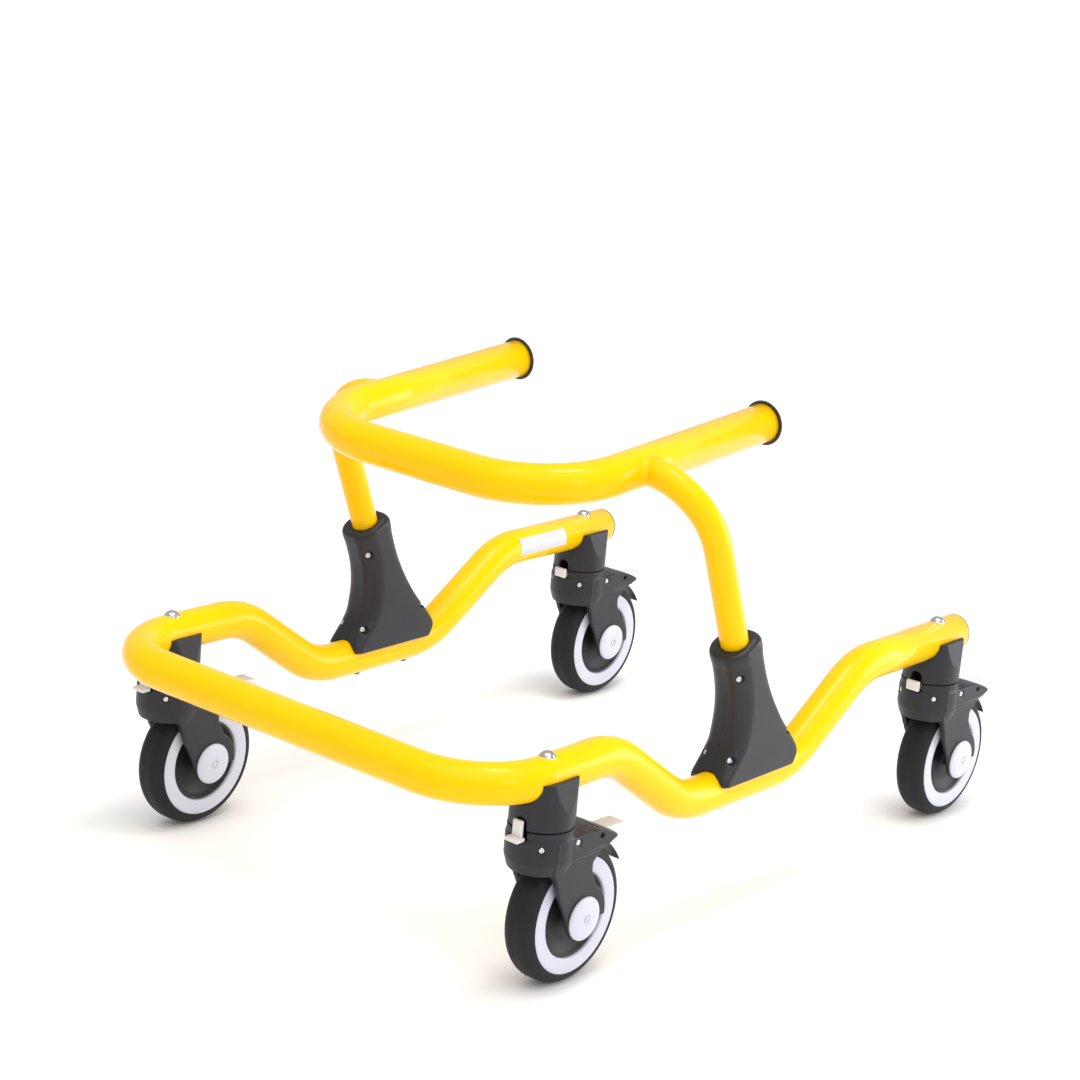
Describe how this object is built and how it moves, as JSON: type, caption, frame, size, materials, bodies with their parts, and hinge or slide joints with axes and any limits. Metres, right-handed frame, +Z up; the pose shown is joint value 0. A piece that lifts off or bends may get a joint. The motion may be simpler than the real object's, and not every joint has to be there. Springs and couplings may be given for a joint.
{
  "type": "wheeled walker",
  "caption": "Low wheeled walker: bent tube base on braked swivel casters, with a tilted support ring on two uprights in moulded brackets.",
  "frame": {"origin": "on the floor, in the middle of the bounding box", "axes": "+X to the user's left, -Y the way the user walks, +Z up"},
  "size_m": [0.509, 0.798, 0.4446],
  "materials": {
    "yellow_powder_coat": "glossy yellow powder coat",
    "bracket_plastic": "satin moulded black",
    "plug_plastic": "satin black",
    "adaptor_plastic": "satin moulded dark grey",
    "fork_plastic": "satin moulded dark grey",
    "chrome": "polished",
    "screw_steel": "bright zinc",
    "black_steel": "black oxide",
    "axle_steel": "bright",
    "pedal_plastic": "smooth pale grey",
    "tab_plastic": "smooth pale grey",
    "tyre_rubber": "smooth dark tread",
    "wheel_ring_plastic": "smooth pale grey",
    "wheel_core_plastic": "satin dark grey",
    "cap_plastic": "smooth pale grey"
  },
  "bodies": {
    "frame": {"lower_frame": "yellow_powder_coat", "upper_frame": "yellow_powder_coat", "ring_plug_left": "plug_plastic", "frame_plug_left": "plug_plastic", "ring_plug_right": "plug_plastic", "frame_plug_right": "plug_plastic", "bracket_outer_left": "bracket_plastic", "bracket_inner_left": "bracket_plastic", "clamp_screw_upper_left": "screw_steel", "clamp_screw_lower_left": "screw_steel", "saddle_bolt_front_left": "black_steel", "saddle_bolt_rear_left": "black_steel", "bracket_outer_right": "bracket_plastic", "bracket_inner_right": "bracket_plastic", "clamp_screw_upper_right": "screw_steel", "clamp_screw_lower_right": "screw_steel", "saddle_bolt_front_right": "black_steel", "saddle_bolt_rear_right": "black_steel", "caster_adaptor_front_left": "adaptor_plastic", "stem_bolt_front_left": "chrome", "caster_adaptor_front_right": "adaptor_plastic", "stem_bolt_front_right": "chrome", "caster_adaptor_rear_left": "adaptor_plastic", "stem_bolt_rear_left": "chrome", "caster_adaptor_rear_right": "adaptor_plastic", "stem_bolt_rear_right": "chrome"},
    "fork_front_left": {"caster_fork_front_left": "fork_plastic", "axle_front_left": "axle_steel", "hub_cap_front_left": "cap_plastic"},
    "wheel_front_left": {"tyre_front_left": "tyre_rubber", "wheel_ring_front_left": "wheel_ring_plastic", "wheel_core_front_left": "wheel_core_plastic"},
    "pedal_front_left": {"brake_pedal_front_left": "pedal_plastic"},
    "tab_front_left": {"lock_tab_front_left": "tab_plastic"},
    "fork_front_right": {"caster_fork_front_right": "fork_plastic", "axle_front_right": "axle_steel", "hub_cap_front_right": "cap_plastic"},
    "wheel_front_right": {"tyre_front_right": "tyre_rubber", "wheel_ring_front_right": "wheel_ring_plastic", "wheel_core_front_right": "wheel_core_plastic"},
    "pedal_front_right": {"brake_pedal_front_right": "pedal_plastic"},
    "tab_front_right": {"lock_tab_front_right": "tab_plastic"},
    "fork_rear_left": {"caster_fork_rear_left": "fork_plastic", "axle_rear_left": "axle_steel", "hub_cap_rear_left": "cap_plastic"},
    "wheel_rear_left": {"tyre_rear_left": "tyre_rubber", "wheel_ring_rear_left": "wheel_ring_plastic", "wheel_core_rear_left": "wheel_core_plastic"},
    "pedal_rear_left": {"brake_pedal_rear_left": "pedal_plastic"},
    "tab_rear_left": {"lock_tab_rear_left": "tab_plastic"},
    "fork_rear_right": {"caster_fork_rear_right": "fork_plastic", "axle_rear_right": "axle_steel", "hub_cap_rear_right": "cap_plastic"},
    "wheel_rear_right": {"tyre_rear_right": "tyre_rubber", "wheel_ring_rear_right": "wheel_ring_plastic", "wheel_core_rear_right": "wheel_core_plastic"},
    "pedal_rear_right": {"brake_pedal_rear_right": "pedal_plastic"},
    "tab_rear_right": {"lock_tab_rear_right": "tab_plastic"}
  },
  "joints": [
    {"name": "swivel_front_left", "type": "hinge", "parent": "frame", "child": "fork_front_left", "pos_m": [0.225, -0.3025, 0.1515], "axis": [0, 0, 1], "continuous": true},
    {"name": "wheel_spin_front_left", "type": "hinge", "parent": "fork_front_left", "child": "wheel_front_left", "pos_m": [0.225, -0.265, 0.0625], "axis": [1, 0, 0], "continuous": true},
    {"name": "brake_press_front_left", "type": "hinge", "parent": "fork_front_left", "child": "pedal_front_left", "pos_m": [0.225, -0.2542, 0.1356], "axis": [1, 0, 0], "range_deg": [-5, 0]},
    {"name": "lock_flip_front_left", "type": "hinge", "parent": "fork_front_left", "child": "tab_front_left", "pos_m": [0.225, -0.3329, 0.146], "axis": [1, 0, 0], "range_deg": [-90, 0]},
    {"name": "swivel_front_right", "type": "hinge", "parent": "frame", "child": "fork_front_right", "pos_m": [-0.225, -0.3025, 0.1515], "axis": [0, 0, 1], "continuous": true},
    {"name": "wheel_spin_front_right", "type": "hinge", "parent": "fork_front_right", "child": "wheel_front_right", "pos_m": [-0.225, -0.265, 0.0625], "axis": [1, 0, 0], "continuous": true},
    {"name": "brake_press_front_right", "type": "hinge", "parent": "fork_front_right", "child": "pedal_front_right", "pos_m": [-0.225, -0.2542, 0.1356], "axis": [1, 0, 0], "range_deg": [-5, 0]},
    {"name": "lock_flip_front_right", "type": "hinge", "parent": "fork_front_right", "child": "tab_front_right", "pos_m": [-0.225, -0.3329, 0.146], "axis": [1, 0, 0], "range_deg": [-90, 0]},
    {"name": "swivel_rear_left", "type": "hinge", "parent": "frame", "child": "fork_rear_left", "pos_m": [0.225, 0.297, 0.1515], "axis": [0, 0, 1], "continuous": true},
    {"name": "wheel_spin_rear_left", "type": "hinge", "parent": "fork_rear_left", "child": "wheel_rear_left", "pos_m": [0.225, 0.3345, 0.0625], "axis": [1, 0, 0], "continuous": true},
    {"name": "brake_press_rear_left", "type": "hinge", "parent": "fork_rear_left", "child": "pedal_rear_left", "pos_m": [0.225, 0.3453, 0.1356], "axis": [1, 0, 0], "range_deg": [-5, 0]},
    {"name": "lock_flip_rear_left", "type": "hinge", "parent": "fork_rear_left", "child": "tab_rear_left", "pos_m": [0.225, 0.2666, 0.146], "axis": [1, 0, 0], "range_deg": [0, 90]},
    {"name": "swivel_rear_right", "type": "hinge", "parent": "frame", "child": "fork_rear_right", "pos_m": [-0.225, 0.297, 0.1515], "axis": [0, 0, 1], "continuous": true},
    {"name": "wheel_spin_rear_right", "type": "hinge", "parent": "fork_rear_right", "child": "wheel_rear_right", "pos_m": [-0.225, 0.3345, 0.0625], "axis": [1, 0, 0], "continuous": true},
    {"name": "brake_press_rear_right", "type": "hinge", "parent": "fork_rear_right", "child": "pedal_rear_right", "pos_m": [-0.225, 0.3453, 0.1356], "axis": [1, 0, 0], "range_deg": [-5, 0]},
    {"name": "lock_flip_rear_right", "type": "hinge", "parent": "fork_rear_right", "child": "tab_rear_right", "pos_m": [-0.225, 0.2666, 0.146], "axis": [1, 0, 0], "range_deg": [0, 90]}
  ]
}
